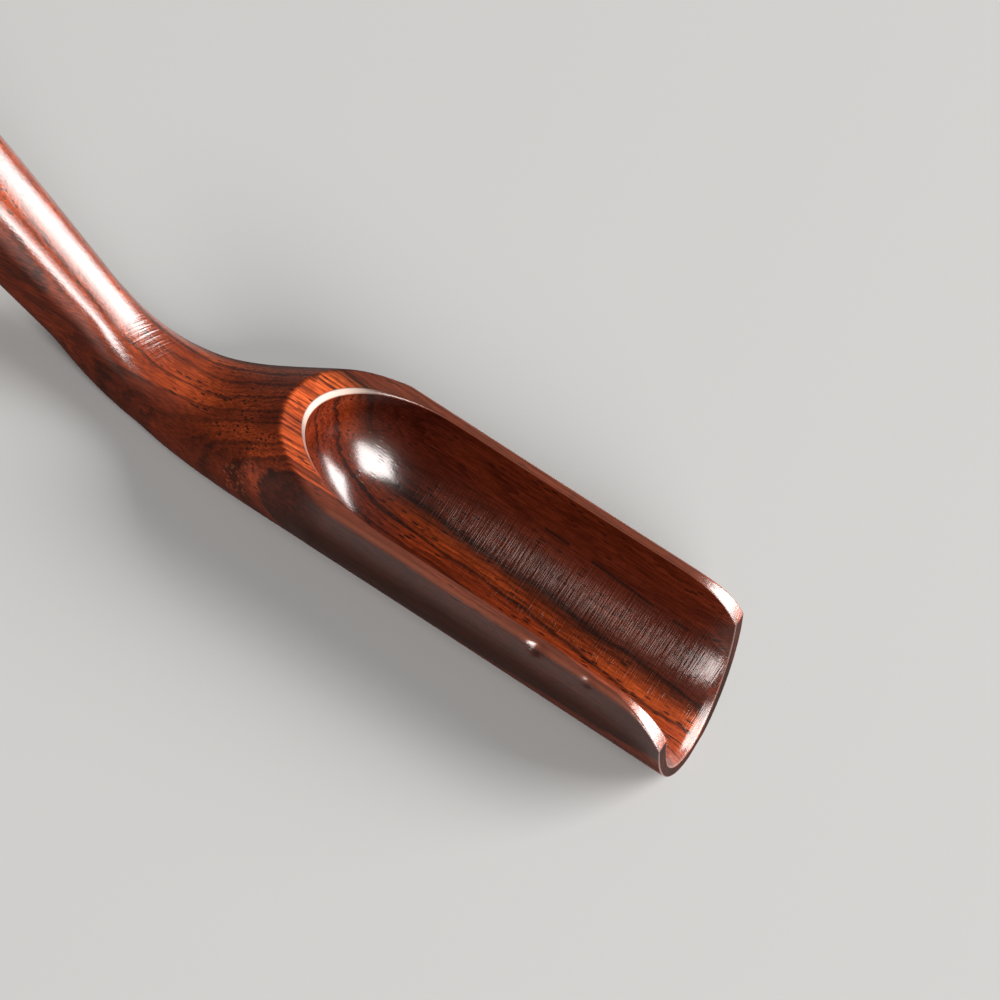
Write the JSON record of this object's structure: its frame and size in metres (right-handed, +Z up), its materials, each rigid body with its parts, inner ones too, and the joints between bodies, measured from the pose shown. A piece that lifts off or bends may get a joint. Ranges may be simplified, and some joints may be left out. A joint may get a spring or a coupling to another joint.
{
  "type": "tea scoop",
  "caption": "Tea scoop carved from one piece of dark rosewood: an open half-round trough with a rounded back end and a leaning lip, a low waisted neck and a rising handle.",
  "frame": {"origin": "on the plane of the underside flat, in the middle of the scoop's length and width", "axes": "+X along the trough to its mouth, +Y to the left of someone looking out of the mouth, +Z up"},
  "size_m": [0.1498, 0.0258, 0.0358],
  "materials": {
    "rosewood": "polished"
  },
  "bodies": {
    "root": {"scoop_body": "rosewood"}
  },
  "joints": []
}
